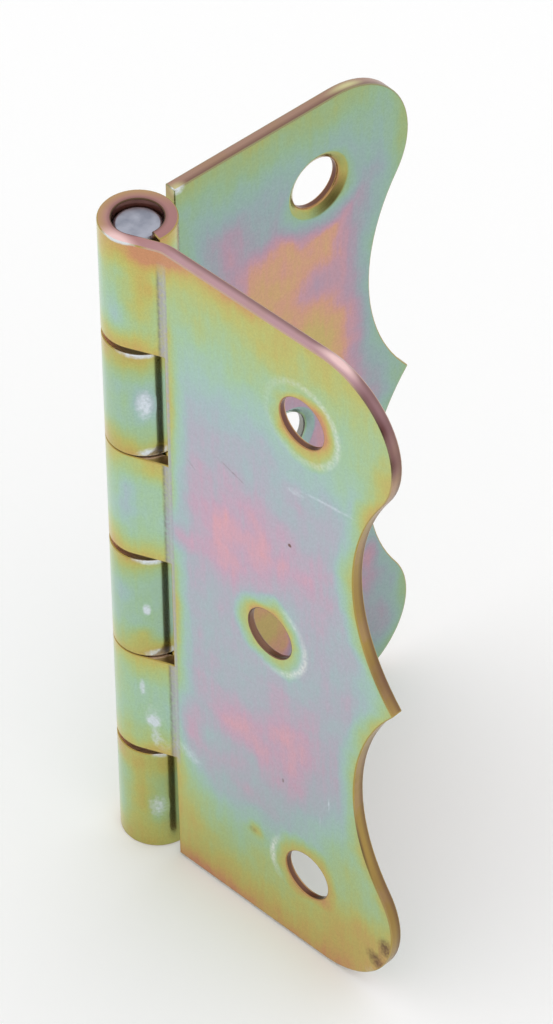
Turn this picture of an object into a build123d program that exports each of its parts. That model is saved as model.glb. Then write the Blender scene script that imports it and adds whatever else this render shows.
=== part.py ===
from build123d import *
import math
import os

# A decorative surface hinge: two alike leaves, stamped from sheet and rolled round one pin.
# Millimetres, +Z up along the pin. The origin is the middle screw hole of the fixed leaf,
# on the back face that lies against the frame. Reaches are measured out from the pin's axis.

# Sheet and pin
sheet = 1.0
pin_diameter = 3.6
pin_clearance = 0.05
pin_recess = 0.55
pin_chamfer = 0.2

# Barrel: knuckles rolled from the leaves, taken in turn
knuckle_count = 6
knuckle_gap = 0.3
axial_lift = 0.22
seam_gap = 0.15

# Neck: the sheet leaves the barrel and bends back into the plane of the leaf
closed_gap = 1.0
neck_bend_radius = 1.7
neck_run = 1.25
notch_clearance = 0.95

# Leaf outline: straight ends, round lobes, hollow scallops that meet in a point
leaf_height = 60.3
lobe_reach = 25.65
lobe_radius = 6.8
point_reach = 25.7
scallop_radius = 16.6

# Screw holes, countersunk on the faces that close on each other
screw_hole = 4.2
screw_land = 0.55
countersink_angle = 120.0
outer_hole_reach = 17.1
outer_hole_spacing = 45.4
middle_hole_reach = 13.7

# Angle between the two leaves as the hinge is shown
open_angle = 85.8

# Sizes that follow
bore_radius = pin_diameter / 2 + pin_clearance
barrel_radius = bore_radius + sheet
inner_face = closed_gap / 2
back_face = inner_face + sheet
notch_edge = barrel_radius + notch_clearance
flat_start = barrel_radius + neck_run
pitch = leaf_height / knuckle_count
notch_width = pitch + knuckle_gap
barrel_length = leaf_height + axial_lift
countersink_radius = screw_hole / 2 + (sheet - screw_land) * math.tan(math.radians(countersink_angle / 2))


def rolled_section() -> Face:
    """Section across the pin: the flat leaf, its neck and the rolled barrel."""
    bend = Vector(flat_start, back_face + neck_bend_radius)
    # The neck is the straight line that touches both the barrel and the reverse bend.
    slant = math.degrees(math.atan2(bend.X, bend.Y))
    slant -= math.degrees(math.acos((barrel_radius + neck_bend_radius) / bend.length))
    outward = Vector(math.sin(math.radians(slant)), math.cos(math.radians(slant)))
    # The roll ends just short of the neck's inner side.
    seam = math.degrees(math.acos((bore_radius - seam_gap) / barrel_radius))
    start = 90 - slant
    sweep = 360 - seam
    far = lobe_reach + sheet
    inner_bend_radius = neck_bend_radius + sheet
    with BuildLine() as line:
        outer_roll = CenterArc((0, 0), barrel_radius, start, sweep)
        inner_roll = CenterArc((0, 0), bore_radius, start, sweep)
        Line(outer_roll @ 1, inner_roll @ 1)
        Line(inner_roll @ 0, bend - outward * inner_bend_radius)
        CenterArc(bend, inner_bend_radius, 270 - slant, slant)
        Polyline((flat_start, inner_face), (far, inner_face), (far, back_face), (flat_start, back_face))
        CenterArc(bend, neck_bend_radius, 270 - slant, slant)
        Line(bend - outward * neck_bend_radius, outer_roll @ 0)
    return make_face(line.edges())


def leaf_outline() -> Sketch:
    """Front view of the leaf, the barrel side left long."""
    lobe = Vector(lobe_reach - lobe_radius, leaf_height / 2 - lobe_radius)
    point = Vector(point_reach, 0)
    # The scallop touches the lobe and passes through the point at mid-height.
    span = point - lobe
    far_side = lobe_radius + scallop_radius
    along = (far_side ** 2 - scallop_radius ** 2 + span.length ** 2) / (2 * span.length)
    aside = math.sqrt(far_side ** 2 - along ** 2)
    step = span.normalized()
    scallop = lobe + step * along + Vector(-step.Y, step.X) * aside
    touch = lobe + (scallop - lobe).normalized() * lobe_radius
    low_turn = math.degrees(math.atan2(touch.Y - lobe.Y, touch.X - lobe.X))
    hollow = (touch + point) * 0.5 - scallop
    deepest = scallop + hollow.normalized() * scallop_radius
    left = -2 * barrel_radius
    with BuildSketch() as outline:
        with BuildLine():
            Polyline((point_reach, 0), (left, 0), (left, leaf_height / 2), (lobe.X, leaf_height / 2))
            CenterArc(lobe, lobe_radius, low_turn, 90 - low_turn)
            ThreePointArc(touch, deepest, point)
        make_face()
        mirror(about=Plane.XZ)
    return outline.sketch


def make_leaf() -> Part:
    """One leaf in its own frame: pin on Z, leaf along +X, back face towards +Y."""
    with BuildPart() as leaf:
        with BuildSketch():
            add(rolled_section())
        extrude(amount=leaf_height / 2, both=True)
        with BuildSketch(Plane.XZ):
            add(leaf_outline())
            # Notches for the other leaf's knuckles, the top one open at the leaf's end
            with Locations((0, pitch / 2)):
                with GridLocations(0, 2 * pitch, 1, knuckle_count // 2):
                    Rectangle(2 * notch_edge, notch_width, mode=Mode.SUBTRACT)
            with Locations((0, leaf_height / 2)):
                Rectangle(2 * notch_edge, notch_width, mode=Mode.SUBTRACT)
        extrude(amount=2 * barrel_radius, both=True, mode=Mode.INTERSECT)
        holes = [(outer_hole_reach, outer_hole_spacing / 2), (middle_hole_reach, 0)]
        holes.append((outer_hole_reach, -outer_hole_spacing / 2))
        with Locations(Plane((0, inner_face, 0), x_dir=(1, 0, 0), z_dir=(0, -1, 0))):
            with Locations(*holes):
                CounterSinkHole(screw_hole / 2, countersink_radius, 2 * sheet, countersink_angle)
    return leaf.part


def make_pin() -> Part:
    """Plain pin, sunk a little below both ends of the barrel."""
    with BuildPart() as pin:
        Cylinder(pin_diameter / 2, barrel_length - 2 * pin_recess)
        chamfer(pin.edges(), pin_chamfer)
    return pin.part


os.makedirs("parts", exist_ok=True)
leaf = make_leaf()
pin_axis = Pos(-middle_hole_reach, -back_face, 0)
fixed_leaf = pin_axis * leaf
swing_leaf = pin_axis * Pos(0, 0, axial_lift) * Rot(0, 0, -open_angle) * Rot(180, 0, 0) * leaf
hinge_pin = pin_axis * Pos(0, 0, axial_lift / 2) * make_pin()

export_step(fixed_leaf, "parts/fixed_leaf.step")
export_step(swing_leaf, "parts/swing_leaf.step")
export_step(hinge_pin, "parts/hinge_pin.step")
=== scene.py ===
import logging
import math
from dataclasses import dataclass
from enum import Enum

import bpy
from bpy.types import Material, Node, NodeSocket, NodeTree, Object
from mathutils import Matrix, Vector


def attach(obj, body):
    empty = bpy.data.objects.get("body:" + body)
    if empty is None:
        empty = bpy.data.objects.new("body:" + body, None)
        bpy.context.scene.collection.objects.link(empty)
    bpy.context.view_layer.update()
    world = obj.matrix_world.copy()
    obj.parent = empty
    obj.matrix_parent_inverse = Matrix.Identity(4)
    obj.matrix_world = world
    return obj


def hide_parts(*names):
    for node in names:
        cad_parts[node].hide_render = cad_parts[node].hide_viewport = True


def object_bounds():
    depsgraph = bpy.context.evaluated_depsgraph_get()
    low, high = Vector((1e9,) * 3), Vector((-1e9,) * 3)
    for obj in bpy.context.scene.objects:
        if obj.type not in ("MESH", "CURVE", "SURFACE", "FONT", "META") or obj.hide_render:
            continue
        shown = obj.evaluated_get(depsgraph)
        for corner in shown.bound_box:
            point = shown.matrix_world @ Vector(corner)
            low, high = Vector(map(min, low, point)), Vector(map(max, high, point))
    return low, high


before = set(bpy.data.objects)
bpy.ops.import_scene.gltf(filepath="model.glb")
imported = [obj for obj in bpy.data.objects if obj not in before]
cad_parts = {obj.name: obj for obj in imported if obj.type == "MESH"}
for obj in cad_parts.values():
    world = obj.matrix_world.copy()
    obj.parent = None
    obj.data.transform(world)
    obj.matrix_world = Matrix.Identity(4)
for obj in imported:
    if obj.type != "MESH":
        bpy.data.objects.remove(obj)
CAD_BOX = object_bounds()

LOG = logging.getLogger("hinge")
MM = 0.001

# How a CAD node's triangles are joined, and which of its edges are rounded and shaded smooth
WELD_MM = 0.002
FLAT_DEG = 0.4
SHARP_DEG = 36
SMOOTH_DEG = 40
ROUND_STEPS = 3

# Sockets of Blender's Mix node, whose names repeat: share, two numbers, two colours and the mixed colour
MIX_SHARE, MIX_FROM, MIX_TO, MIX_UNDER, MIX_OVER, MIXED = 0, 2, 3, 6, 7, 2

# Middle value of Blender's noise
NOISE_MIDDLE = 0.5

# A colour laid over another: how much of it, and its hex code
Layer = tuple[Node | float, str]
# Least and most of what goes in, and what comes out for each, as Blender's Map Range takes them
Range = tuple[float, float, float, float]


def linear(code: str) -> tuple[float, float, float, float]:
    """Turns an sRGB hex colour into the linear colour that Blender's sockets take.

    Args:
        code: six hex digits with a leading hash.

    Returns:
        Linear red, green and blue, and an alpha of one.
    """
    parts = [int(code[place:place + 2], 16) / 255 for place in (1, 3, 5)]
    red, green, blue = (c / 12.92 if c <= 0.04045 else ((c + 0.055) / 1.055) ** 2.4 for c in parts)
    return red, green, blue, 1.0


def put(tree: NodeTree, kind: str, fill: dict | None = None, **settings: object) -> Node:
    """Adds one node with its settings and links.

    Args:
        tree: the tree that gets the node.
        kind: Blender's type name of the node, without the ShaderNode that all of them start with.
        fill: input sockets by name or number, each with a value, a socket or a node to link from.
        settings: properties of the node.

    Returns:
        The new node.
    """
    made = tree.nodes.new("ShaderNode" + kind)
    for key, value in settings.items():
        setattr(made, key, value)
    for key, value in (fill or {}).items():
        source = value.outputs[0] if isinstance(value, Node) else value
        if isinstance(source, NodeSocket):
            tree.links.new(source, made.inputs[key])
        else:
            made.inputs[key].default_value = value
    return made


def fresh_material(name: str, roughness: float, metallic: float = 0.0) -> tuple[Material, Node]:
    """Makes a material with nothing in it but its surface shader and output.

    Args:
        name: the material's name.
        roughness: the surface's roughness.
        metallic: about one for metal, zero for anything else.

    Returns:
        The material and its surface shader node.
    """
    material = bpy.data.materials.new(name)
    material.use_nodes = True
    tree = material.node_tree
    tree.nodes.clear()
    surface = put(tree, "BsdfPrincipled", {"Roughness": roughness, "Metallic": metallic})
    put(tree, "OutputMaterial", {"Surface": surface})
    return material, surface


def lay_over(tree: NodeTree, colour: NodeSocket, layers: list[Layer]) -> NodeSocket:
    """Lays colours over a colour, one after the other.

    Args:
        tree: the material's tree.
        colour: the colour underneath.
        layers: the colours to lay on.

    Returns:
        The colour that shows.
    """
    for amount, code in layers:
        laid = {MIX_SHARE: amount, MIX_UNDER: colour, MIX_OVER: linear(code)}
        colour = put(tree, "Mix", laid, data_type="RGBA").outputs[MIXED]
    return colour


class Side(Enum):
    """Which way the leaf's outer face lies in its own frame."""

    FIXED = 1
    SWING = -1


class Surface(Enum):
    """Material slots of a leaf, by how the steel's surface was made."""

    ROLLED = 0
    SHEARED = 1
    RIM = 2


class Mark(Enum):
    """What a spot does to the finish."""

    FILM = "thicker or thinner film"
    # Also used for painted highlights on edges and corners
    BARE = "film rubbed off to pale zinc"
    STAIN = "brown stain, scratch or dark speck"
    RING = "pale ring left by the punch"
    DENT = "punched dent"
    CUT = "darker stretch of the cut edge"
    # Painted shade on the lower side of a countersink
    GREASE = "old dark grease"


@dataclass(frozen=True)
class Spot:
    """A soft-edged spot on a leaf, as an ellipsoid in the leaf's own frame, in millimetres.

    The frame has reach outwards from the pin, depth towards the outer face and height along the pin.
    """

    reach: float
    depth: float
    height: float
    size: tuple[float, float, float]
    amount: float
    mark: Mark = Mark.FILM
    turn_deg: float = 0.0


@dataclass(frozen=True)
class LeafShape:
    """Sizes of the stamped leaf in millimetres, as the CAD model has them.

    The last ones are pairs that a mask rises between: they tell one face from the other, and the
    countersinks from both.
    """

    half_height: float = 30.15
    pitch: float = 10.05
    outer_face: float = 1.5
    inner_face: float = 0.5
    flat_start: float = 4.1
    lobe: tuple[float, float] = (18.85, 23.35)
    lobe_radius: float = 6.8
    scallop: tuple[float, float] = (38.5, 10.6)
    scallop_radius: float = 16.6
    outer_hole: tuple[float, float] = (17.1, 22.7)
    middle_hole: tuple[float, float] = (13.7, 0.0)
    hole_radius: float = 2.1
    pin_axis: tuple[float, float] = (-13.7, -1.5)
    mid_depth: tuple[float, float] = (0.8, 1.2)
    outer_skin: tuple[float, float] = (1.2, 1.35)
    sunk_mouth: tuple[float, float] = (0.51, 0.58)
    sunk_floor: tuple[float, float] = (1.4, 1.2)
    sunk_reach: tuple[float, float] = (6.0, 8.0)


SHAPE = LeafShape()


@dataclass(frozen=True)
class LeafFrame:
    """A leaf's own frame: turned about the pin until its reach lies on X.

    The lift brings it to the fixed leaf's height.
    """

    side: Side
    turn_deg: float
    lift_mm: float

    def turn(self) -> Matrix:
        """Returns the turn about the pin."""
        return Matrix.Rotation(math.radians(self.turn_deg), 3, "Z")


class Ground:
    """A leaf's own frame inside one material, in millimetres, and the spots that lie in it."""

    def __init__(self, material: Material, leaf: LeafFrame, spots: list[Spot]) -> None:
        """Puts the frame into the material as reach, depth and height.

        Args:
            material: the material.
            leaf: which leaf it is.
            spots: all the leaf's spots.
        """
        self.tree = material.node_tree
        self.side = leaf.side.value
        self.spots = spots
        shift = leaf.turn() @ Vector((-SHAPE.pin_axis[0], -SHAPE.pin_axis[1], -leaf.lift_mm))
        coords = put(self.tree, "TexCoord")
        settings = {"Vector": coords.outputs["Object"], "Location": shift, "Scale": (1 / MM,) * 3}
        settings["Rotation"] = (0, 0, math.radians(leaf.turn_deg))
        self.own = put(self.tree, "Mapping", settings)
        axes = put(self.tree, "SeparateXYZ", {0: self.own})
        self.reach, self.depth, self.height = axes.outputs

    def between_depths(self, limits: tuple[float, float], most: float = 1.0) -> Node:
        """Tells one part of the sheet's thickness from the rest.

        Args:
            limits: the depths where it starts to rise and where it is full.
            most: how high it rises.

        Returns:
            A node whose value rises from zero to the most.
        """
        first, last = limits
        rise = {0: self.depth, 1: self.side * first, 2: self.side * last, 3: 0.0, 4: most}
        return put(self.tree, "MapRange", rise)

    def folded(self, place: Node) -> Node:
        """Folds a place about the leaf's middle, because its outline is alike above and below.

        Args:
            place: node whose vector is reach, depth and height.

        Returns:
            A node whose vector is reach and distance from the middle.
        """
        axes = put(self.tree, "SeparateXYZ", {0: place})
        level = put(self.tree, "Math", {0: axes.outputs[2]}, operation="ABSOLUTE")
        return put(self.tree, "CombineXYZ", {0: axes.outputs[0], 1: level})

    def from_pin(self) -> NodeSocket:
        """Returns the distance from the pin's axis."""
        around = put(self.tree, "VectorMath", {0: self.own, 1: (1, 1, 0)}, operation="MULTIPLY")
        return put(self.tree, "VectorMath", {0: around}, operation="LENGTH").outputs[1]

    def from_holes(self) -> list[NodeSocket]:
        """Works out the distances from the holes' centres.

        Returns:
            The distance from the nearer outer hole, and from the middle hole.
        """
        flat = self.folded(self.own)
        found = []
        for centre in (SHAPE.outer_hole, SHAPE.middle_hole):
            away = put(self.tree, "VectorMath", {0: flat, 1: (*centre, 0)}, operation="DISTANCE")
            found.append(away.outputs[1])
        return found

    def add_up(self, mark: Mark, place: Node | None = None) -> Node | float:
        """Adds up the spots of one kind.

        Args:
            mark: the kind to add.
            place: where to look for them, if not in the leaf's own frame.

        Returns:
            A node whose value is the sum of the spots, or zero where there are none.
        """
        total: Node | float = 0.0
        for spot in self.spots:
            if spot.mark is not mark:
                continue
            settings = {
                "Vector": self.own if place is None else place,
                "Location": (spot.reach, self.side * spot.depth, spot.height),
                "Rotation": (0, math.radians(spot.turn_deg), 0),
                "Scale": spot.size,
            }
            near = put(self.tree, "Mapping", settings, vector_type="TEXTURE")
            near = put(self.tree, "VectorMath", {0: near}, operation="LENGTH")
            fill = {0: near.outputs[1], 1: 1.0, 2: 0.0, 3: 0.0, 4: spot.amount}
            soft = put(self.tree, "MapRange", fill, interpolation_type="SMOOTHSTEP")
            total = put(self.tree, "Math", {0: soft, 1: total}, operation="ADD")
        return total


@dataclass(frozen=True)
class Film:
    """Thickness of the chromate film on one face.

    Each pair is how thick it is at one kind of edge and how fast it grows away from it, per mm.
    """

    ends: tuple[float, float]
    lobe: tuple[float, float]
    scallop: tuple[float, float]
    barrel: tuple[float, float]
    outer_hole: tuple[float, float]
    middle_hole: tuple[float, float]
    most: float


@dataclass(frozen=True)
class BendLine:
    """A line along the bend beside the barrel.

    It lies at one reach, fades in between two distances from it, and has a strength and a colour.
    """

    reach: float
    fade: tuple[float, float]
    share: float
    colour: str


@dataclass(frozen=True)
class ChromatedZinc:
    """Zinc-plated sheet under a yellow chromate film.

    The film is thin enough for interference, so its thickness shows as colour: gold where it is thin
    along edges and holes, then green, teal and lavender, and pink to orange where it is thickest.
    The plating is satin bright, with the fine lengthways lines of cold-rolled sheet.
    """

    colours: tuple[tuple[float, str], ...] = (
        (0.00, "#C6886C"),
        (0.07, "#C9A068"),
        (0.14, "#C4B066"),
        (0.22, "#BDBD70"),
        (0.31, "#AFC388"),
        (0.41, "#A6C6A1"),
        (0.51, "#A5C4B9"),
        (0.59, "#A8BCC0"),
        (0.67, "#B3B2BF"),
        (0.75, "#C6A7BB"),
        (0.82, "#D8A6B2"),
        (0.88, "#E6AC94"),
        (0.94, "#E2B684"),
        (1.00, "#DAC07C"),
    )
    outer: Film = Film(
        ends=(0.19, 0.034),
        lobe=(0.25, 0.10),
        scallop=(0.26, 0.22),
        barrel=(0.32, 0.17),
        outer_hole=(0.04, 0.31),
        middle_hole=(0.10, 0.33),
        most=0.645,
    )
    inner: Film = Film(
        ends=(0.29, 0.05),
        lobe=(0.34, 0.11),
        scallop=(0.47, 0.09),
        barrel=(0.40, 0.08),
        outer_hole=(0.31, 0.19),
        middle_hole=(0.70, 0.05),
        most=0.91,
    )
    least: float = 0.02
    meeting: float = 0.06
    sunk_loss: float = 0.18
    # By the distance from a knuckle's end, and where the barrel's film gives way to the leaf's
    knuckle: Range = (-0.5, 3.6, 0.12, 0.44)
    foot_mm: tuple[float, float] = (3.2, 4.0)
    # Size and strength of the clouds and streaks in the film, and how far its bands wander
    mottle: tuple[float, float] = (2.2, 0.19)
    streaks: tuple[tuple[float, float], ...] = ((0.32, 0.08), (1.0, 0.12))
    streak_stretch: float = 0.12
    warp_mm: tuple[float, float, float] = (2.2, 0.0, 3.0)
    warp_size_mm: float = 5.0
    # Colours laid over the film, and how far each goes
    # Painted shade for the inner faces between the leaves, and how it fades onto the barrel
    shade: str = "#E2E4E2"
    shade_reach: Range = (2.8, 3.8, 0.35, 1.0)
    # Brown of the roll's inside, painted lighter to offset the shade there
    bore: str = "#9C6E60"
    bore_mm: tuple[float, float] = (2.1, 1.95)
    # Pale zinc of the rubs, also used for painted highlights
    pale_rub_and_highlight: str = "#D6DEE6"
    stain: str = "#6A4A36"
    rubbed: Range = (0.12, 0.5, 0.0, 0.9)
    # Colour of the painted shade in the countersinks
    sink_shade: str = "#544C26"
    ring: str = "#E6EAE4"
    ring_gap_mm: float = 1.35
    ring_half_mm: tuple[float, float] = (0.42, 0.1)
    ring_broken: Range = (0.4, 0.62, 0.22, 0.65)
    # Along the bend: a grey band of painted reflection, a faint pale line, and a dark line of painted shade
    bend_lines: tuple[BendLine, ...] = (
        BendLine(3.82, (0.41, 0.27), 0.85, "#A6A4AE"),
        BendLine(3.92, (0.16, 0.02), 0.15, "#E6EAE4"),
        BendLine(3.46, (0.16, 0.02), 0.65, "#77776A"),
    )
    bend_ends: tuple[tuple[float, float], ...] = ((-20.6, -19.4), (29.4, 27.2))
    bend_grit: Range = (0.36, 0.6, 0.5, 1.0)
    # Grit breaks the rubs up; the grain of the plating is drawn coarser than it is, so that it shows
    grit_mm: float = 0.3
    grain_mm: float = 0.14
    grain: Range = (0.3, 0.7, 0.93, 1.07)
    # Rolling lines, drawn coarser than they are, so that they show
    line_mm: float = 0.16
    line_length_mm: float = 4.0
    line_depth_mm: float = 0.006
    line_strength: float = 0.35
    dent_depth_mm: float = 0.25
    roughness: float = 0.2
    metallic: float = 0.92

    def ramp(self, tree: NodeTree, film: Node) -> Node:
        """Turns film thickness into its interference colour.

        Args:
            tree: the material's tree.
            film: node whose value is the film's thickness, 0 to 1.

        Returns:
            The colour ramp node.
        """
        ramp = put(tree, "ValToRGB", {0: film})
        stops = ramp.color_ramp.elements
        while len(stops) < len(self.colours):
            stops.new(0.5)
        for stop, (place, code) in zip(stops, self.colours):
            stop.position = place
            stop.color = linear(code)
        return ramp

    def wandered(self, ground: Ground) -> Node:
        """Shifts the leaf's frame to and fro: the bath drains unevenly, so the bands wander.

        Args:
            ground: the leaf's own frame.

        Returns:
            A node whose vector is the shifted reach, depth and height.
        """
        tree = ground.tree
        cloud = put(tree, "TexNoise", {0: ground.own, "Scale": 1 / self.warp_size_mm, "Detail": 3.0})
        sway = put(tree, "VectorMath", {0: cloud.outputs[1], 1: (NOISE_MIDDLE,) * 3}, operation="SUBTRACT")
        return put(tree, "VectorMath", {0: sway, 1: self.warp_mm, 2: ground.own}, operation="MULTIPLY_ADD")

    def edges(self, ground: Ground, place: Node) -> dict[str, NodeSocket]:
        """Works out how far a point lies from each kind of edge.

        Args:
            ground: the leaf's own frame.
            place: the shifted frame.

        Returns:
            Distances in millimetres by the kind of edge, named as in Film.
        """
        tree = ground.tree
        flat = ground.folded(place)
        axes = put(tree, "SeparateXYZ", {0: flat})
        ends = put(tree, "Math", {0: SHAPE.half_height, 1: axes.outputs[1]}, operation="SUBTRACT")
        barrel = put(tree, "Math", {0: axes.outputs[0], 1: SHAPE.flat_start}, operation="SUBTRACT")
        past = put(tree, "VectorMath", {0: flat, 1: (*SHAPE.lobe, 0)}, operation="SUBTRACT")
        past = put(tree, "VectorMath", {0: past, 1: (0, 0, 0)}, operation="MAXIMUM")
        past = put(tree, "VectorMath", {0: past}, operation="LENGTH")
        lobe = put(tree, "Math", {0: SHAPE.lobe_radius, 1: past.outputs[1]}, operation="SUBTRACT")
        found = {"ends": ends.outputs[0], "barrel": barrel.outputs[0], "lobe": lobe.outputs[0]}
        rounds = {
            "scallop": (SHAPE.scallop, SHAPE.scallop_radius),
            "outer_hole": (SHAPE.outer_hole, SHAPE.hole_radius),
            "middle_hole": (SHAPE.middle_hole, SHAPE.hole_radius),
        }
        for name, (centre, radius) in rounds.items():
            away = put(tree, "VectorMath", {0: flat, 1: (*centre, 0)}, operation="DISTANCE")
            away = put(tree, "Math", {0: away.outputs[1], 1: radius}, operation="SUBTRACT")
            found[name] = away.outputs[0]
        return found

    def countersinks(self, ground: Ground) -> Node:
        """Finds the countersunk cones, by how deep they lie under the inner face.

        Args:
            ground: the leaf's own frame.

        Returns:
            A node whose value is one on the cones and zero elsewhere.
        """
        first, last = SHAPE.sunk_reach
        found = put(ground.tree, "MapRange", {0: ground.reach, 1: first, 2: last})
        for limits in (SHAPE.sunk_mouth, SHAPE.sunk_floor):
            within = ground.between_depths(limits)
            found = put(ground.tree, "Math", {0: found, 1: within}, operation="MULTIPLY")
        return found

    def on_face(self, tree: NodeTree, face: Film, edges: dict[str, NodeSocket]) -> Node:
        """Works out the film on one face, thinner towards each edge.

        Args:
            tree: the material's tree.
            face: the film's thickness on that face.
            edges: distances from each kind of edge.

        Returns:
            A node whose value is the thickness.
        """
        film: Node | float = face.most
        for name, distance in edges.items():
            start, growth = getattr(face, name)
            grown = put(tree, "Math", {0: distance, 1: growth, 2: start}, operation="MULTIPLY_ADD")
            film = put(tree, "Math", {0: film, 1: grown, 2: self.meeting}, operation="SMOOTH_MIN")
        return film

    def on_barrel(self, tree: NodeTree, place: Node) -> Node:
        """Works out the film round the barrel, thinner towards the end of each knuckle.

        Args:
            tree: the material's tree.
            place: the shifted frame.

        Returns:
            A node whose value is the thickness.
        """
        axes = put(tree, "SeparateXYZ", {0: place})
        along = put(tree, "Math", {0: axes.outputs[2], 1: SHAPE.pitch / 2}, operation="PINGPONG")
        film = dict(enumerate((along, *self.knuckle)))
        return put(tree, "MapRange", film, interpolation_type="SMOOTHSTEP")

    def thickness(self, ground: Ground, sunk: Node) -> Node:
        """Works out the film's thickness all over a leaf.

        Args:
            ground: the leaf's own frame.
            sunk: node whose value is one in the countersinks, where the film is thinner.

        Returns:
            A node whose value is the thickness, 0 to 1.
        """
        tree = ground.tree
        place = self.wandered(ground)
        edges = self.edges(ground, place)
        inner, outer = (self.on_face(tree, face, edges) for face in (self.inner, self.outer))
        depth = ground.between_depths(SHAPE.mid_depth)
        film = put(tree, "Mix", {MIX_SHARE: depth, MIX_FROM: inner, MIX_TO: outer})
        first, last = self.foot_mm
        flat = put(tree, "MapRange", {0: ground.reach, 1: first, 2: last})
        film = put(tree, "Mix", {MIX_SHARE: flat, MIX_FROM: self.on_barrel(tree, place), MIX_TO: film})
        film = put(tree, "Math", {0: film, 1: ground.add_up(Mark.FILM, place)}, operation="ADD")
        film = put(tree, "Math", {0: sunk, 1: -self.sunk_loss, 2: film}, operation="MULTIPLY_ADD")
        # Small clouds and lengthways streaks
        streak = put(tree, "Mapping", {0: ground.own, "Scale": (1.0, 1.0, self.streak_stretch)})
        layers = [(ground.own, *self.mottle)] + [(streak, *layer) for layer in self.streaks]
        for where, width, strength in layers:
            cloud = put(tree, "TexNoise", {0: where, "Scale": 1 / width, "Detail": 4.0})
            cloud = put(tree, "Math", {0: cloud, 1: NOISE_MIDDLE}, operation="SUBTRACT")
            film = put(tree, "Math", {0: cloud, 1: strength, 2: film}, operation="MULTIPLY_ADD")
        return put(tree, "Math", {0: film, 1: self.least}, operation="MAXIMUM")

    def bend_reflection_and_shade(self, ground: Ground, grit: Node) -> list[Layer]:
        """Draws the reverse bend beside the barrel: a grey band of painted reflection, a faint pale line,
        and a dark line of painted shade.

        Args:
            ground: the leaf's own frame.
            grit: fine noise that breaks the band and lines up.

        Returns:
            The layers to lay over the film.
        """
        tree = ground.tree
        outer = ground.between_depths(SHAPE.outer_skin)
        patchy = put(tree, "MapRange", dict(enumerate((grit, *self.bend_grit))))
        shown = put(tree, "Math", {0: outer, 1: patchy}, operation="MULTIPLY")
        for first, last in self.bend_ends:
            ending = put(tree, "MapRange", {0: ground.height, 1: first, 2: last})
            shown = put(tree, "Math", {0: shown, 1: ending}, operation="MULTIPLY")
        layers: list[Layer] = []
        for line in self.bend_lines:
            away = put(tree, "Math", {0: ground.reach, 1: line.reach}, operation="SUBTRACT")
            away = put(tree, "Math", {0: away}, operation="ABSOLUTE")
            share = put(tree, "MapRange", dict(enumerate((away, *line.fade, 0.0, line.share))))
            layers.append((put(tree, "Math", {0: share, 1: shown}, operation="MULTIPLY"), line.colour))
        return layers

    def punch_rings(self, ground: Ground, grit: Node) -> Node:
        """Draws the broken ring that the punch's pressure pad left round each hole.

        Args:
            ground: the leaf's own frame.
            grit: fine noise that breaks the rings up.

        Returns:
            A node whose value is one on the rings and zero elsewhere.
        """
        tree = ground.tree
        rings: Node | float = 0.0
        radius = SHAPE.hole_radius + self.ring_gap_mm
        first, last = self.ring_half_mm
        for distance in ground.from_holes():
            away = put(tree, "Math", {0: distance, 1: radius}, operation="SUBTRACT")
            away = put(tree, "Math", {0: away}, operation="ABSOLUTE")
            ring = put(tree, "MapRange", {0: away, 1: first, 2: last})
            rings = put(tree, "Math", {0: ring, 1: rings}, operation="ADD")
        broken = put(tree, "MapRange", dict(enumerate((grit, *self.ring_broken))))
        for factor in (ground.add_up(Mark.RING), broken):
            rings = put(tree, "Math", {0: rings, 1: factor}, operation="MULTIPLY")
        return rings

    def wear_and_shade(self, ground: Ground, sunk: Node, colour: NodeSocket) -> NodeSocket:
        """Lays painted shade, the bend's painted reflection, punch rings, rubs and painted highlights,
        stains and the countersinks' painted shade over the film.

        Args:
            ground: the leaf's own frame.
            sunk: node whose value is one in the countersinks, which get painted shade.
            colour: colour of the film.

        Returns:
            The colour with its rubs, stains and painted light and shade.
        """
        tree = ground.tree
        # Painted shade on the inner faces, which face each other between the leaves, and about a third as
        # much on the barrel
        inner = ground.between_depths(SHAPE.mid_depth[::-1])
        away = put(tree, "MapRange", dict(enumerate((ground.reach, *self.shade_reach))))
        inner = put(tree, "Math", {0: inner, 1: away}, operation="MULTIPLY")
        painted_shade_mix = {MIX_SHARE: inner, MIX_UNDER: colour, MIX_OVER: linear(self.shade)}
        colour = put(tree, "Mix", painted_shade_mix, data_type="RGBA", blend_type="MULTIPLY").outputs[MIXED]
        grit = put(tree, "TexNoise", {0: ground.own, "Scale": 1 / self.grit_mm, "Detail": 4.0})
        layers = self.bend_reflection_and_shade(ground, grit)
        # The roll's inside is brown, painted lighter than that to offset the shade inside the barrel
        first, last = self.bore_mm
        bore = put(tree, "MapRange", {0: ground.from_pin(), 1: first, 2: last})
        layers += [(bore, self.bore), (self.punch_rings(ground, grit), self.ring)]
        # Rubs and painted highlights, and stains, broken up by grit
        for mark, code in ((Mark.BARE, self.pale_rub_and_highlight), (Mark.STAIN, self.stain)):
            amount = put(tree, "Math", {0: ground.add_up(mark), 1: grit}, operation="MULTIPLY")
            amount = put(tree, "MapRange", dict(enumerate((amount, *self.rubbed))))
            layers.append((amount, code))
        # Painted shade on the lower side of the countersinks
        sink_shade = put(tree, "Math", {0: ground.add_up(Mark.GREASE), 1: sunk}, operation="MULTIPLY")
        colour = lay_over(tree, colour, layers + [(sink_shade, self.sink_shade)])
        # Fine pits and bright grains of the plating
        grain = put(tree, "TexNoise", {0: ground.own, "Scale": 1 / self.grain_mm, "Detail": 3.0})
        grain = put(tree, "MapRange", dict(enumerate((grain, *self.grain))))
        return put(tree, "HueSaturation", {"Color": colour, "Value": grain}).outputs[0]

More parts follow.
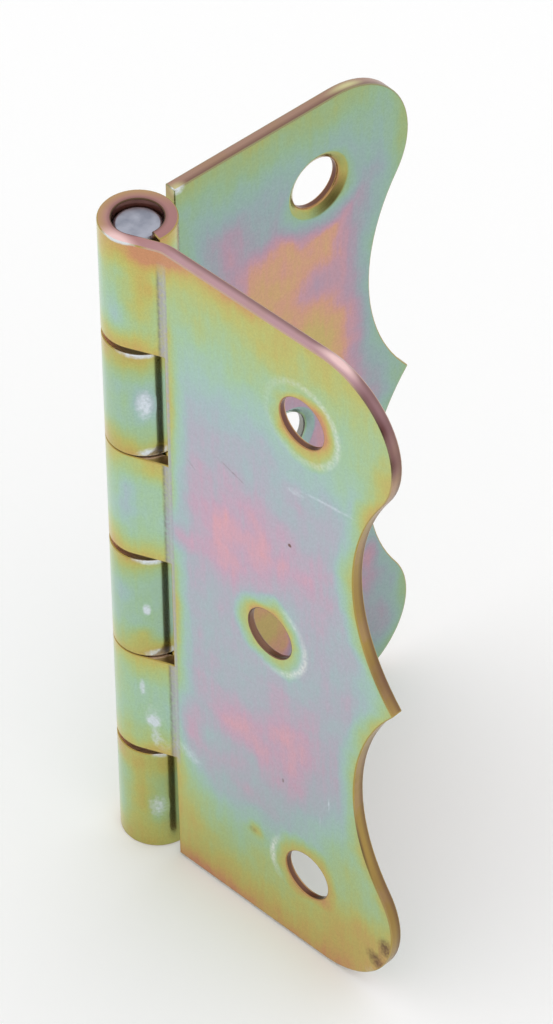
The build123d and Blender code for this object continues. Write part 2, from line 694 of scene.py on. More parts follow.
    def relief(self, ground: Ground) -> NodeSocket:
        """Raises the rolling lines and sinks the dents that stake the pin.

        Args:
            ground: the leaf's own frame.

        Returns:
            The surface's normal.
        """
        tree = ground.tree
        spacing = (1 / self.line_mm, 1 / self.line_mm, 1 / self.line_length_mm)
        lines = put(tree, "Mapping", {0: ground.own, "Scale": spacing})
        lines = put(tree, "TexNoise", {0: lines, "Scale": 1.0, "Detail": 2.0})
        fill = {"Strength": self.line_strength, "Distance": self.line_depth_mm * MM, "Height": lines}
        fine = put(tree, "Bump", fill)
        deep = {"Strength": 1.0, "Distance": self.dent_depth_mm * MM, "Normal": fine}
        deep["Height"] = ground.add_up(Mark.DENT)
        return put(tree, "Bump", deep).outputs[0]

    def make(self, name: str, leaf: LeafFrame, spots: list[Spot]) -> Material:
        """Makes the finish for one leaf.

        Args:
            name: the material's name.
            leaf: which leaf it is.
            spots: the leaf's spots.

        Returns:
            The material.
        """
        material, surface = fresh_material(name, self.roughness, self.metallic)
        ground = Ground(material, leaf, spots)
        sunk = self.countersinks(ground)
        film = self.ramp(ground.tree, self.thickness(ground, sunk))
        colour = self.wear_and_shade(ground, sunk, film.outputs[0])
        ground.tree.links.new(colour, surface.inputs["Base Color"])
        ground.tree.links.new(self.relief(ground), surface.inputs["Normal"])
        return material


@dataclass(frozen=True)
class EdgeTones:
    """Colours of one leaf's edges: the upper end and its corner, the middle hole's wall, and the rubs and
    painted highlights.
    """

    top: str
    corner: str
    wall: str
    rub_and_highlight: str


@dataclass(frozen=True)
class EdgeFinish:
    """What the finishes of a leaf's edges share: a colour that fades into another at the upper end."""

    low: str
    cloud_mm: float
    sway: float
    wall_mm: tuple[float, float]
    wall_share: float
    roughness: float
    metallic: float = 0.92
    fade_mm: tuple[float, float] = (18.0, 27.0)

    def base(self, ground: Ground, top: str) -> NodeSocket:
        """Fades from the sides' colour to the upper end's, with a cloudy border.

        Args:
            ground: the leaf's own frame.
            top: colour of the upper end.

        Returns:
            The colour to lay the marks over.
        """
        tree = ground.tree
        first, last = self.fade_mm
        rise = put(tree, "MapRange", {0: ground.height, 1: first, 2: last})
        cloud = put(tree, "TexNoise", {0: ground.own, "Scale": 1 / self.cloud_mm, "Detail": 4.0})
        first, last = NOISE_MIDDLE - self.sway, NOISE_MIDDLE + self.sway
        fill = {0: cloud, 1: first, 2: last, 3: -self.sway, 4: self.sway}
        share = put(tree, "MapRange", fill)
        share = put(tree, "Math", {0: share, 1: rise}, operation="ADD", use_clamp=True)
        faded = {MIX_SHARE: share, MIX_UNDER: linear(self.low), MIX_OVER: linear(top)}
        return put(tree, "Mix", faded, data_type="RGBA").outputs[MIXED]

    def walls(self, ground: Ground, outer: str, middle: str) -> list[Layer]:
        """Colours the punched walls of the holes.

        Args:
            ground: the leaf's own frame.
            outer: colour of the outer holes' walls.
            middle: colour of the middle hole's wall.

        Returns:
            The layers to lay over the edge's colour.
        """
        first, last = (SHAPE.hole_radius + gap for gap in self.wall_mm)
        layers: list[Layer] = []
        for away, code in zip(ground.from_holes(), (outer, middle)):
            near = {0: away, 1: first, 2: last, 3: 0.0, 4: self.wall_share}
            layers.append((put(ground.tree, "MapRange", near), code))
        return layers


@dataclass(frozen=True)
class ShearedEdge(EdgeFinish):
    """Cut edge of the sheet: torn by the punch, then plated, so matt and brownish with fine cross lines."""

    low: str = "#A4884A"
    cloud_mm: float = 2.0
    sway: float = 0.15
    wall_mm: tuple[float, float] = (0.5, 0.2)
    wall_share: float = 0.85
    roughness: float = 0.34
    dark: str = "#664A40"
    maroon: str = "#643F3D"
    olive: str = "#B9B06C"
    end: str = "#AE7E7C"
    gold: str = "#B8966A"
    # Light tan of the lower knuckle ends, painted lighter to offset the shade in the gaps
    tan: str = "#E0C0A2"
    # The torn half of the cut, by depth, and the painted shade on the notches, by reach and distance below
    # the upper end
    torn_mm: tuple[float, float] = (1.05, 0.7)
    torn_share: float = 0.6
    notch: Range = (4.3, 3.9, 0.0, 0.9)
    barrel: Range = (3.4, 2.6, 1.0, 0.1)
    end_skin_mm: tuple[float, float] = (0.02, 0.1)
    open_notch_mm: tuple[float, float] = (20.0, 20.6)
    # Ends of the knuckles, by distance from the pin; the uppermost by height, its back by reach
    rolled_mm: tuple[float, float] = (3.1, 2.95)
    uppermost_mm: tuple[float, float] = (29.0, 29.5)
    behind_mm: tuple[float, float] = (1.2, -1.2)
    end_ring: Range = (5.2, 2.5, 0.0, 0.8)
    gold_ring: Range = (2.05, 2.6, 0.0, 0.8)
    dark_ring: Range = (2.2, 1.9, 0.0, 0.6)
    lines_per_mm: tuple[float, float, float] = (6.0, 0.8, 6.0)
    line_depth_mm: float = 0.02
    line_strength: float = 0.5

    def cuts(self, ground: Ground) -> list[Layer]:
        """Darkens the torn half of the cut, next to the inner face, and paints shade on the notches' cut
        faces beside the barrel.

        The open notch at the upper end took the film like a face, so it is olive.

        Args:
            ground: the leaf's own frame.

        Returns:
            The layers to lay over the edge's colour.
        """
        tree = ground.tree
        first, last = (SHAPE.half_height - gap for gap in self.end_skin_mm)
        below = put(tree, "MapRange", {0: ground.height, 1: first, 2: last})
        # Painted shade on the notches' cut faces, which face the other leaf's barrel
        notch = put(tree, "MapRange", dict(enumerate((ground.reach, *self.notch))))
        barrel = put(tree, "MapRange", dict(enumerate((ground.reach, *self.barrel))))
        for factor in (barrel, below):
            notch = put(tree, "Math", {0: notch, 1: factor}, operation="MULTIPLY")
        torn = ground.between_depths(self.torn_mm, self.torn_share)
        dim = put(tree, "Math", {0: torn, 1: notch}, operation="MAXIMUM")
        first, last = self.open_notch_mm
        open_notch = put(tree, "MapRange", {0: ground.height, 1: first, 2: last})
        open_notch = put(tree, "Math", {0: open_notch, 1: notch}, operation="MULTIPLY")
        return [(dim, self.dark), (open_notch, self.olive)]

    def knuckle_ends(self, ground: Ground) -> list[Layer]:
        """Colours the ends of the knuckles.

        The lower ones are a light tan, painted lighter than they are to offset the shade in the narrow
        gaps. The uppermost is pinkish in front, golden behind, with painted shade towards the bore.

        Args:
            ground: the leaf's own frame.

        Returns:
            The layers to lay over the edge's colour.
        """
        tree = ground.tree
        around = ground.from_pin()
        first, last = self.uppermost_mm
        upper = put(tree, "MapRange", {0: ground.height, 1: first, 2: last})
        lower = put(tree, "MapRange", {0: ground.height, 1: last, 2: first})
        first, last = self.rolled_mm
        rolled = put(tree, "MapRange", {0: around, 1: first, 2: last})
        lower = put(tree, "Math", {0: rolled, 1: lower}, operation="MULTIPLY")
        first, last = self.behind_mm
        behind = put(tree, "MapRange", {0: ground.reach, 1: first, 2: last})
        behind = put(tree, "Math", {0: behind, 1: upper}, operation="MULTIPLY")
        # Painted light on the lower ends, and painted shade towards the bore of the uppermost
        layers: list[Layer] = [(lower, self.tan)]
        rings = (
            (self.end_ring, upper, self.end),
            (self.gold_ring, behind, self.gold),
            (self.dark_ring, upper, self.dark),
        )
        for ring, where, code in rings:
            share = put(tree, "MapRange", dict(enumerate((around, *ring))))
            layers.append((put(tree, "Math", {0: share, 1: where}, operation="MULTIPLY"), code))
        return layers

    def make(self, name: str, leaf: LeafFrame, spots: list[Spot], tones: EdgeTones) -> Material:
        """Makes the finish for one leaf's cut edges.

        Args:
            name: the material's name.
            leaf: which leaf it is.
            spots: the leaf's spots.
            tones: the leaf's own edge colours.

        Returns:
            The material.
        """
        material, surface = fresh_material(name, self.roughness, self.metallic)
        ground = Ground(material, leaf, spots)
        tree = ground.tree
        layers = self.cuts(ground) + self.walls(ground, self.maroon, tones.wall) + self.knuckle_ends(ground)
        # Darker stretches, and rubs and painted highlights on the cut edge
        layers += [(ground.add_up(Mark.CUT), self.maroon), (ground.add_up(Mark.BARE), tones.rub_and_highlight)]
        colour = lay_over(tree, self.base(ground, tones.top), layers)
        tree.links.new(colour, surface.inputs["Base Color"])
        lines = put(tree, "Mapping", {0: ground.own, "Scale": self.lines_per_mm})
        lines = put(tree, "TexNoise", {0: lines, "Scale": 1.0, "Detail": 2.0})
        fill = {"Strength": self.line_strength, "Distance": self.line_depth_mm * MM, "Height": lines}
        rough = put(tree, "Bump", fill)
        tree.links.new(rough.outputs[0], surface.inputs["Normal"])
        return material


@dataclass(frozen=True)
class BurnishedRim(EdgeFinish):
    """Rounded corner of the sheet, smoother than the cut.

    It is pinkish or olive at the upper end, golden below, painted dark in the bore as shade, and rubbed
    white in places, with painted highlights in others.
    """

    low: str = "#AC9650"
    cloud_mm: float = 3.0
    sway: float = 0.2
    wall_mm: tuple[float, float] = (0.6, 0.3)
    wall_share: float = 0.9
    roughness: float = 0.26
    hole: str = "#B48A5C"
    dark: str = "#4E372F"
    pale_rub_and_highlight: str = "#DDE2E6"
    # By distance from the pin
    knuckle: Range = (3.4, 3.1, 0.0, 0.9)
    # Painted shade on the bore's rounded edge, laid over its highlight
    bore: Range = (2.3, 2.1, 0.0, 0.9)
    grit_mm: float = 0.3
    rubbed: Range = (0.1, 0.4, 0.0, 0.95)

    def make(self, name: str, leaf: LeafFrame, spots: list[Spot], tones: EdgeTones) -> Material:
        """Makes the finish for one leaf's rounded corners.

        Args:
            name: the material's name.
            leaf: which leaf it is.
            spots: the leaf's spots.
            tones: the leaf's own edge colours.

        Returns:
            The material.
        """
        material, surface = fresh_material(name, self.roughness, self.metallic)
        ground = Ground(material, leaf, spots)
        tree = ground.tree
        around = ground.from_pin()
        layers: list[Layer] = []
        for limits, code in ((self.knuckle, self.low), (self.bore, self.dark)):
            layers.append((put(tree, "MapRange", dict(enumerate((around, *limits)))), code))
        layers += self.walls(ground, self.hole, tones.wall)
        grit = put(tree, "TexNoise", {0: ground.own, "Scale": 1 / self.grit_mm, "Detail": 4.0})
        # Rubs and painted highlights, broken up by grit
        rub_and_highlight = put(tree, "Math", {0: ground.add_up(Mark.BARE), 1: grit}, operation="MULTIPLY")
        rub_and_highlight = put(tree, "MapRange", dict(enumerate((rub_and_highlight, *self.rubbed))))
        layers += [(rub_and_highlight, self.pale_rub_and_highlight), (ground.add_up(Mark.CUT), self.dark)]
        colour = lay_over(tree, self.base(ground, tones.corner), layers)
        tree.links.new(colour, surface.inputs["Base Color"])
        return material


@dataclass(frozen=True)
class DrawnWire:
    """Plain drawn steel wire, cut off: bluish grey, with a coarse cropped end."""

    pale: str = "#ACAFBC"
    deep: str = "#9094A2"
    cloud_mm: float = 1.1
    contrast: tuple[float, float] = (0.35, 0.65)
    crop_depth_mm: float = 0.03
    crop_strength: float = 0.5
    roughness: float = 0.36
    metallic: float = 0.9

    def make(self, name: str) -> Material:
        """Makes the finish.

        Args:
            name: the material's name.

        Returns:
            The material.
        """
        material, surface = fresh_material(name, self.roughness, self.metallic)
        tree = material.node_tree
        coords = put(tree, "TexCoord")
        fill = {0: coords.outputs["Object"], "Scale": 1 / (self.cloud_mm * MM), "Detail": 4.0}
        cloud = put(tree, "TexNoise", fill)
        first, last = self.contrast
        share = put(tree, "MapRange", {0: cloud, 1: first, 2: last})
        fill = {MIX_SHARE: share, MIX_UNDER: linear(self.deep), MIX_OVER: linear(self.pale)}
        colour = put(tree, "Mix", fill, data_type="RGBA")
        tree.links.new(colour.outputs[MIXED], surface.inputs["Base Color"])
        fill = {"Strength": self.crop_strength, "Distance": self.crop_depth_mm * MM, "Height": cloud}
        uneven = put(tree, "Bump", fill)
        tree.links.new(uneven.outputs[0], surface.inputs["Normal"])
        return material


def merged_copy(node: str, name: str) -> Object:
    """Copies a CAD node's mesh into a new object and joins its loose triangles.

    Args:
        node: the CAD node's name.
        name: the new object's name.

    Returns:
        The new object, selected and active.
    """
    bpy.ops.object.select_all(action="DESELECT")
    piece = bpy.data.objects.new(name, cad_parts[node].data.copy())
    bpy.context.scene.collection.objects.link(piece)
    piece.select_set(True)
    bpy.context.view_layer.objects.active = piece
    if piece.data.has_custom_normals:
        bpy.ops.mesh.customdata_custom_splitnormals_clear()
    bpy.ops.object.mode_set(mode="EDIT")
    bpy.ops.mesh.select_all(action="SELECT")
    bpy.ops.mesh.remove_doubles(threshold=WELD_MM * MM)
    bpy.ops.mesh.dissolve_limited(angle_limit=math.radians(FLAT_DEG))
    bpy.ops.object.mode_set(mode="OBJECT")
    piece.data.materials.clear()
    return piece


def round_edges(piece: Object, width_mm: float, slot: int) -> None:
    """Rounds the sharp edges and shades the piece smooth.

    Args:
        piece: the piece to round, active and selected.
        width_mm: width of the rounding.
        slot: material slot of the rounded strip, or -1 to keep the neighbours'.
    """
    bpy.ops.object.modifier_add(type="BEVEL")
    bevel = piece.modifiers[-1]
    bevel.width = width_mm * MM
    bevel.segments = ROUND_STEPS
    bevel.limit_method = "ANGLE"
    bevel.angle_limit = math.radians(SHARP_DEG)
    bevel.use_clamp_overlap = False
    bevel.material = slot
    bpy.ops.object.modifier_apply(modifier=bevel.name)
    bpy.ops.object.shade_smooth_by_angle(angle=math.radians(SMOOTH_DEG))
    bpy.ops.object.modifier_add(type="WEIGHTED_NORMAL")
    even = piece.modifiers[-1]
    even.keep_sharp = True
    bpy.ops.object.modifier_apply(modifier=even.name)


@dataclass
class Leaf:
    """One stamped leaf with its rolled knuckles.

    A face is a cut edge where its normal points up or down, or lies in the sheet outside the barrel.
    """

    node: str
    body: str
    own: LeafFrame
    spots: list[Spot]
    tones: EdgeTones
    rim_mm: float = 0.09
    steepest: float = 0.7
    flattest: float = 0.3
    notch_margin_mm: float = 0.45
    piece: Object | None = None

    def build(self) -> Object:
        """Makes the leaf with its corners rounded and its faces sorted by how they were made.

        Returns:
            The leaf's object.
        """
        self.piece = merged_copy(self.node, self.node + "_sheet")
        turn = self.own.turn()
        axis = Vector((*SHAPE.pin_axis, 0)) * MM
        for slot in Surface:
            self.piece.data.materials.append(None)
        for face in self.piece.data.polygons:
            way = turn @ face.normal
            reach = (turn @ (face.center - axis)).x / MM
            outside = reach > SHAPE.flat_start - self.notch_margin_mm
            across = abs(way.z) > self.steepest or (abs(way.y) < self.flattest and outside)
            face.material_index = (Surface.SHEARED if across else Surface.ROLLED).value
        round_edges(self.piece, self.rim_mm, Surface.RIM.value)
        return self.piece

    def dress(self, sheet: ChromatedZinc, cut: ShearedEdge, rim: BurnishedRim) -> None:
        """Gives the leaf its finishes and its place on its body.

        Args:
            sheet: finish of the rolled faces.
            cut: finish of the cut edges.
            rim: finish of the rounded corners.
        """
        slots = self.piece.data.materials
        own, spots, tones = self.own, self.spots, self.tones
        slots[Surface.ROLLED.value] = sheet.make(f"chromated_zinc_{self.node}", own, spots)
        slots[Surface.SHEARED.value] = cut.make(f"sheared_edge_{self.node}", own, spots, tones)
        slots[Surface.RIM.value] = rim.make(f"burnished_rim_{self.node}", own, spots, tones)
        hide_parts(self.node)
        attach(self.piece, self.body)


@dataclass
class Pin:
    """The wire pin that both leaves are rolled round."""

    node: str = "hinge_pin"
    body: str = "fixed_side"
    rim_mm: float = 0.08
    piece: Object | None = None

    def build(self) -> Object:
        """Makes the pin with its corners rounded.

        Returns:
            The pin's object.
        """
        self.piece = merged_copy(self.node, "hinge_pin_wire")
        round_edges(self.piece, self.rim_mm, -1)
        return self.piece

    def dress(self, wire: DrawnWire) -> None:
        """Gives the pin its finish and its place.

        Args:
            wire: finish of the wire.
        """
        self.piece.data.materials.append(wire.make("drawn_steel_wire"))
        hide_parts(self.node)
        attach(self.piece, self.body)


# Depths of the two faces, and how deep a spot of film on one goes without showing on the other
INNER, OUTER, SKIN = SHAPE.inner_face, SHAPE.outer_face, 0.9

FIXED_SPOTS = [
    # Inner face: orange and gold in the middle with a mauve cloud between, pink on the lower lobe
    Spot(17.0, INNER, 13.4, (3.4, SKIN, 2.8), -0.14),
    Spot(17.8, INNER, 7.2, (5.0, SKIN, 5.0), 0.12),
    Spot(8.0, INNER, 22.5, (3.5, SKIN, 3.0), 0.05),
    Spot(11.8, INNER, -19.1, (3.5, SKIN, 4.0), 0.14),
    Spot(22.8, INNER, 22.5, (5.0, SKIN, 5.5), -0.12),
    Spot(20.4, INNER, 9.0, (2.8, SKIN, 9.5), 0.12),
    Spot(18.5, INNER, 14.0, (2.6, SKIN, 3.0), 0.06),
    Spot(11.8, INNER, 21.6, (3.4, SKIN, 3.2), -0.08),
    Spot(16.3, INNER, 9.0, (2.8, SKIN, 2.8), 0.06),
    Spot(13.9, INNER, -21.6, (2.0, SKIN, 2.6), 0.16),
    Spot(9.6, INNER, -15.0, (2.0, SKIN, 2.0), 0.06),
    Spot(21.6, INNER, -17.4, (1.6, SKIN, 2.6), 0.16),
    Spot(22.0, INNER, -21.2, (2.2, SKIN, 2.0), -0.12),
    Spot(23.0, INNER, -26.2, (3.5, SKIN, 4.5), 0.16),
    # Outer face, away from the photo: uneven like the other leaf's
    Spot(9.5, OUTER, 9.5, (6.0, SKIN, 8.0), 0.12, turn_deg=15),
    Spot(15.0, OUTER, -9.0, (6.5, SKIN, 6.0), 0.13, turn_deg=-20),
    Spot(7.5, OUTER, -17.0, (4.5, SKIN, 4.5), 0.07),
    Spot(21.0, OUTER, 18.5, (6.0, SKIN, 6.0), -0.12),
    Spot(12.0, OUTER, -30.0, (16.0, SKIN, 6.0), -0.10),
    # Knuckles, counted from the top of the barrel: teal on the fourth, yellow down the sixth
    Spot(-1.3, -2.5, -1.4, (2.8, 2.8, 2.2), 0.11),
    Spot(-0.9, -2.7, -8.4, (1.6, 1.6, 1.8), 0.10),
    Spot(-1.5, -2.2, -25.2, (6.0, 6.0, 9.0), -0.15),
    Spot(-2.7, -0.9, -25.5, (1.6, 1.6, 5.5), -0.14),
    Spot(-1.5, -2.2, -30.4, (4.5, 4.5, 3.0), 0.17),
    Spot(-1.5, -2.2, -20.0, (4.5, 4.5, 2.2), 0.14),
    Spot(-2.8, -0.4, -3.5, (1.8, 1.8, 3.0), 0.12),
    Spot(-2.2, -1.8, -8.0, (1.6, 1.6, 1.6), -0.12),
    # Rubbed rims of the knuckles, and the marks that stake the pin
    Spot(-1.9, -2.1, 19.9, (3.0, 3.0, 0.55), 1.0, Mark.BARE),
    Spot(-1.3, -2.5, 10.4, (2.0, 2.0, 1.0), 1.2, Mark.BARE),
    Spot(-1.6, -2.4, -0.25, (2.5, 2.5, 0.55), 1.0, Mark.BARE),
    Spot(-1.2, -2.6, -9.7, (2.0, 2.0, 0.9), 1.2, Mark.BARE),
    Spot(-1.3, -2.5, -20.3, (1.6, 1.6, 0.6), 0.9, Mark.BARE),
    Spot(-1.8, -2.2, 15.4, (1.5, 1.5, 2.8), 0.16),
    Spot(-1.8, -2.22, 15.2, (1.05, 1.05, 2.3), 1.1, Mark.BARE),
    Spot(-2.04, -1.99, -5.1, (0.5, 0.5, 0.9), 1.5, Mark.BARE),
    Spot(-1.8, -2.22, -25.8, (1.6, 1.6, 2.4), 0.10),
    Spot(-1.8, -2.2, -25.8, (1.3, 1.3, 2.1), 0.72, Mark.BARE),
    Spot(-1.85, -2.17, 15.2, (1.05, 1.05, 1.9), -0.4, Mark.DENT),
    Spot(-1.85, -2.17, -25.8, (1.05, 1.05, 1.7), -0.4, Mark.DENT),
    # Painted shade on the lower side of the upper countersink, a painted highlight on the corner by the
    # barrel, and a rubbed spot on the lobe's edge
    Spot(18.5, 0.7, 20.4, (3.2, 1.2, 2.0), 1.0, Mark.GREASE, turn_deg=-31),
    Spot(4.1, 0.6, 30.0, (1.1, 0.8, 0.8), 0.9, Mark.BARE),
    Spot(20.2, 1.0, 30.0, (2.6, 0.5, 0.9), 0.9, Mark.BARE),
]

SWING_SPOTS = [
    # Outer face: pink and coral clouds in the middle, green lobes, gold along the ends
    Spot(9.0, OUTER, 7.5, (6.2, SKIN, 9.2), 0.12, turn_deg=-12),
    Spot(8.6, OUTER, 4.2, (4.5, SKIN, 3.6), 0.05, turn_deg=-30),
    Spot(4.8, OUTER, 4.0, (2.4, SKIN, 2.4), 0.18),
    Spot(5.0, OUTER, 8.0, (1.8, SKIN, 3.0), 0.08),
    Spot(13.5, OUTER, 11.5, (4.0, SKIN, 3.0), 0.06),
    Spot(16.0, OUTER, 17.5, (3.5, SKIN, 2.5), -0.07),
    Spot(15.0, OUTER, 7.8, (7.5, SKIN, 5.5), 0.11),
    Spot(15.3, OUTER, -9.5, (5.5, SKIN, 5.5), 0.12, turn_deg=15),
    Spot(14.0, OUTER, -13.0, (6.5, SKIN, 3.6), 0.05),
    Spot(10.5, OUTER, -11.5, (3.4, SKIN, 3.4), 0.12),
    Spot(8.0, OUTER, -10.5, (5.0, SKIN, 3.6), 0.06),
    Spot(5.0, OUTER, -14.5, (2.4, SKIN, 4.5), 0.12),
    Spot(12.3, OUTER, -13.4, (2.6, SKIN, 2.0), 0.06),
    Spot(12.0, OUTER, -19.0, (4.0, SKIN, 2.2), 0.07),
    Spot(14.0, OUTER, -6.0, (2.6, SKIN, 2.6), 0.05),
    Spot(16.0, OUTER, -14.5, (3.2, SKIN, 3.2), 0.07),
    Spot(20.6, OUTER, -17.8, (5.8, SKIN, 6.5), -0.20),
    Spot(21.2, OUTER, -25.8, (7.0, SKIN, 5.6), -0.15),
    Spot(17.1, OUTER, -22.7, (3.3, SKIN, 3.3), 0.50),
    Spot(21.5, OUTER, 19.0, (6.0, SKIN, 6.0), -0.10),
    Spot(14.0, OUTER, -31.0, (26.0, SKIN, 12.0), -0.08),
    Spot(5.0, OUTER, -23.5, (4.0, SKIN, 6.0), -0.13),
    Spot(9.0, OUTER, -18.5, (7.0, SKIN, 3.5), 0.06),
    Spot(3.5, OUTER, 31.0, (8.0, SKIN, 4.0), -0.16),
    Spot(11.0, OUTER, 31.0, (7.0, SKIN, 3.2), -0.13),
    Spot(6.5, OUTER, -30.4, (6.5, SKIN, 2.4), -0.09),
    Spot(13.2, OUTER, 2.6, (2.2, SKIN, 0.9), 0.12),
    Spot(12.8, OUTER, -23.8, (2.4, SKIN, 2.6), -0.08),
    Spot(21.5, OUTER, -19.5, (3.0, SKIN, 4.5), -0.07),
    Spot(14.0, OUTER, -31.4, (26.0, SKIN, 2.8), -0.08),
    Spot(25.0, OUTER, 21.8, (3.0, SKIN, 4.5), -0.12),
    Spot(25.0, OUTER, -22.5, (3.0, SKIN, 4.5), -0.08),
    Spot(14.5, OUTER, 27.6, (3.4, SKIN, 2.6), -0.07),
    # Inner face, away from the photo: uneven like the other leaf's
    Spot(10.0, INNER, 15.0, (6.5, SKIN, 6.0), -0.16, turn_deg=-30),
    Spot(17.0, INNER, 8.0, (5.0, SKIN, 6.5), 0.10, turn_deg=15),
    Spot(8.0, INNER, -7.0, (4.5, SKIN, 7.0), 0.10, turn_deg=20),
    Spot(15.5, INNER, -13.5, (6.0, SKIN, 4.5), -0.18, turn_deg=25),
    Spot(7.0, INNER, -22.0, (5.5, SKIN, 4.5), 0.14),
    Spot(21.5, INNER, 24.0, (5.0, SKIN, 5.0), -0.10),
    # Beside the barrel: a golden line along the notches, and teal at the foot of the bend
    Spot(4.2, OUTER, 15.1, (0.9, SKIN, 6.0), -0.15),
    Spot(4.2, OUTER, -5.0, (0.9, SKIN, 6.0), -0.15),
    Spot(4.5, OUTER, 5.0, (1.2, SKIN, 5.0), 0.10),
    Spot(4.8, OUTER, -16.5, (1.8, SKIN, 5.2), 0.16),
    # Knuckles: gold and orange on the first, teal on the third, yellow at the back of the fifth
    Spot(3.3, 2.0, 30.2, (3.4, 3.2, 2.7), -0.17),
    Spot(4.2, 1.8, 29.0, (2.4, 1.6, 2.0), -0.14),
    Spot(0.0, 2.85, 28.0, (2.4, 2.4, 2.6), -0.12),
    Spot(1.0, 2.6, 23.6, (1.7, 1.7, 2.6), 0.09),
    Spot(1.0, 2.6, 9.2, (2.8, 2.8, 2.2), 0.09),
    Spot(-1.4, 2.5, -14.0, (2.0, 2.0, 4.0), -0.10),
    Spot(2.2, 2.0, 25.5, (2.6, 2.6, 5.5), -0.2),
    Spot(2.7, 1.9, 27.0, (1.9, 1.9, 4.4), -0.13),
    Spot(0.5, 2.8, 5.5, (1.3, 1.3, 3.0), 0.13),
    Spot(2.3, 2.0, 8.8, (1.6, 1.6, 1.6), -0.05),
    # Where the punch's ring shows
    Spot(18.0, OUTER, 22.9, (5.6, 0.6, 5.6), 1.5, Mark.RING),
    Spot(16.0, OUTER, -1.2, (4.5, 0.6, 5.0), 1.3, Mark.RING),
    Spot(15.6, OUTER, 2.4, (1.6, 0.6, 1.8), 0.6, Mark.RING),
    Spot(13.4, OUTER, -22.6, (2.6, 0.6, 3.2), 1.4, Mark.RING),
    # Cut edge: a painted pink highlight on the upper lobe, then a darker stretch; darker above the point
    # and on the lower lobe
    Spot(20.2, 0.9, 30.0, (2.8, 0.58, 1.2), 1.3, Mark.BARE),
    Spot(23.1, 1.4, 28.7, (2.1, 1.1, 2.1), 0.75, Mark.CUT),
    Spot(24.6, 1.4, 26.9, (2.2, 1.1, 2.4), 1.0, Mark.CUT),
    Spot(25.5, 1.4, 24.3, (1.9, 1.1, 2.4), 0.9, Mark.CUT),
    Spot(24.6, 1.0, 2.8, (3.0, 1.6, 4.0), 0.5, Mark.CUT),
    Spot(22.5, 1.0, 8.5, (2.0, 1.0, 5.0), 0.15, Mark.CUT),
    Spot(24.4, 1.0, -20.0, (3.0, 1.6, 5.0), 0.3, Mark.CUT),
    Spot(22.8, 1.55, -15.5, (2.6, 0.32, 5.0), 0.9, Mark.CUT),
    # Rubs, scratches, specks, and stains with thinner film under them
    Spot(0.8, 2.7, 30.15, (2.4, 1.1, 0.35), 1.3, Mark.BARE),
    Spot(2.1, 2.2, -16.2, (1.7, 1.7, 3.0), 0.42, Mark.BARE),
    Spot(2.15, 2.15, -16.7, (0.8, 0.8, 0.9), 1.2, Mark.BARE),
    Spot(2.25, 2.05, -18.3, (0.7, 0.7, 1.4), 0.55, Mark.BARE),
    Spot(1.43, 2.49, -13.4, (0.5, 0.5, 1.4), 0.85, Mark.BARE),
    Spot(5.2, OUTER, -18.5, (2.6, 0.6, 1.4), 0.55, Mark.BARE, turn_deg=20),
    Spot(3.0, 1.9, -19.0, (1.8, 1.4, 1.8), 0.35, Mark.BARE),
    Spot(19.5, OUTER, 16.6, (5.6, 0.5, 0.3), 0.62, Mark.BARE, turn_deg=-8),
    Spot(16.4, OUTER, 15.7, (1.7, 0.5, 0.5), 0.6, Mark.BARE, turn_deg=-8),
    Spot(19.4, OUTER, -13.6, (0.16, 0.5, 1.3), 0.75, Mark.BARE),
    Spot(18.5, OUTER, -16.0, (0.14, 0.5, 1.0), 0.65, Mark.BARE),
    Spot(10.2, OUTER, 13.6, (3.2, 0.5, 0.2), 0.52, Mark.STAIN, turn_deg=18),
    Spot(6.2, OUTER, 11.6, (1.0, 0.5, 0.12), 0.6, Mark.STAIN, turn_deg=35),
    Spot(15.8, OUTER, 10.2, (0.3, 0.5, 0.3), 1.4, Mark.STAIN),
    Spot(14.8, OUTER, -14.3, (0.22, 0.5, 0.4), 0.9, Mark.STAIN),
    Spot(11.6, OUTER, -21.8, (1.3, SKIN, 1.1), -0.26),
    Spot(11.6, OUTER, -21.8, (0.9, 0.5, 0.7), 0.5, Mark.STAIN),
    Spot(24.6, OUTER, -25.6, (2.0, SKIN, 3.2), -0.07, turn_deg=35),
    Spot(22.6, OUTER, -23.4, (3.2, SKIN, 3.6), -0.10),
    Spot(25.0, OUTER, -24.6, (1.3, 0.6, 1.8), 0.95, Mark.STAIN),
    Spot(24.2, OUTER, -26.6, (2.2, 0.6, 1.4), 0.9, Mark.STAIN, turn_deg=35),
    Spot(23.6, 1.2, -28.3, (1.8, 0.9, 1.6), 0.5, Mark.BARE),
]


@dataclass(frozen=True)
class Studio:
    """Plain white room: soft light from all round and a white floor that keeps the hinge's shadow."""

    floor_m: float = 3.0
    white: str = "#FFFFFF"
    roughness: float = 0.9
    light: float = 1.0

    def build(self) -> None:
        """Makes the floor and the light."""
        bpy.ops.object.select_all(action="DESELECT")
        bpy.ops.mesh.primitive_plane_add(size=self.floor_m, location=(0, 0, CAD_BOX[0].z))
        floor = bpy.context.object
        floor.name = "floor"
        material, surface = fresh_material("white_paper_floor", self.roughness)
        surface.inputs["Base Color"].default_value = linear(self.white)
        floor.data.materials.append(material)
        world = bpy.data.worlds.new("white_room")
        world.use_nodes = True
        bpy.context.scene.world = world
        world.node_tree.nodes.clear()
        sky = put(world.node_tree, "Background", {"Color": linear(self.white), "Strength": self.light})
        put(world.node_tree, "OutputWorld", {"Surface": sky})


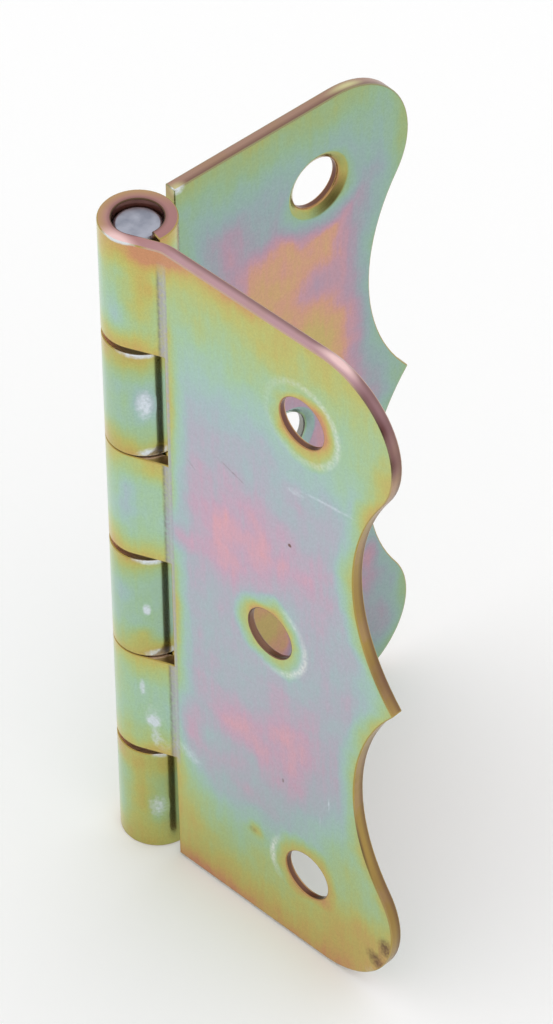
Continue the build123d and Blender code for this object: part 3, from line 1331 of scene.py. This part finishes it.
@dataclass(frozen=True)
class Eye:
    """Where the picture is taken from: a long lens, looking down on the standing hinge."""

    aim_mm: tuple[float, float, float] = (-6.1515, -6.8907, 0.9458)
    distance_mm: float = 472.57
    heading_deg: float = 49.1906
    down_deg: float = 44.2491
    roll_deg: float = -0.9023
    lens_mm: float = 230.74
    sensor_mm: float = 36
    nearest_m: float = 0.01
    farthest_m: float = 10

    def build(self) -> Object:
        """Makes the camera.

        Returns:
            The camera object.
        """
        turn = Matrix.Rotation(math.radians(self.heading_deg - 90), 4, "Z")
        tilt = Matrix.Rotation(math.radians(90 - self.down_deg), 4, "X")
        roll = Matrix.Rotation(math.radians(self.roll_deg), 4, "Z")
        pose = turn @ tilt @ roll
        data = bpy.data.cameras.new("eye")
        data.lens = self.lens_mm
        data.sensor_width = self.sensor_mm
        data.clip_start = self.nearest_m
        data.clip_end = self.farthest_m
        eye = bpy.data.objects.new("eye", data)
        bpy.context.scene.collection.objects.link(eye)
        back = pose.to_3x3() @ Vector((0, 0, 1))
        place = Matrix.Translation((Vector(self.aim_mm) + back * self.distance_mm) * MM)
        eye.matrix_world = place @ pose
        bpy.context.scene.camera = eye
        return eye


def main() -> None:
    """Builds the hinge, its room and the camera in order."""
    logging.basicConfig(level=logging.INFO)
    bpy.context.scene.view_settings.view_transform = "Standard"
    Eye().build()
    Studio().build()
    sheet, cut, rim = ChromatedZinc(), ShearedEdge(), BurnishedRim()
    brown = EdgeTones(top="#A58474", corner="#94906A", wall="#8F9494", rub_and_highlight="#D2CE98")
    pink = EdgeTones(top="#BC969C", corner="#C2A494", wall="#74524A", rub_and_highlight="#F0CCCA")
    leaves = (
        Leaf("fixed_leaf", "fixed_side", LeafFrame(Side.FIXED, 0.0, 0.0), FIXED_SPOTS, brown),
        Leaf("swing_leaf", "swing_side", LeafFrame(Side.SWING, 85.8, 0.22), SWING_SPOTS, pink),
    )
    for leaf in leaves:
        leaf.build()
        leaf.dress(sheet, cut, rim)
        LOG.info("%s: %d faces", leaf.piece.name, len(leaf.piece.data.polygons))
    pin = Pin()
    pin.build()
    pin.dress(DrawnWire())
    LOG.info("%s: %d faces", pin.piece.name, len(pin.piece.data.polygons))


if __name__ == "__main__":
    main()
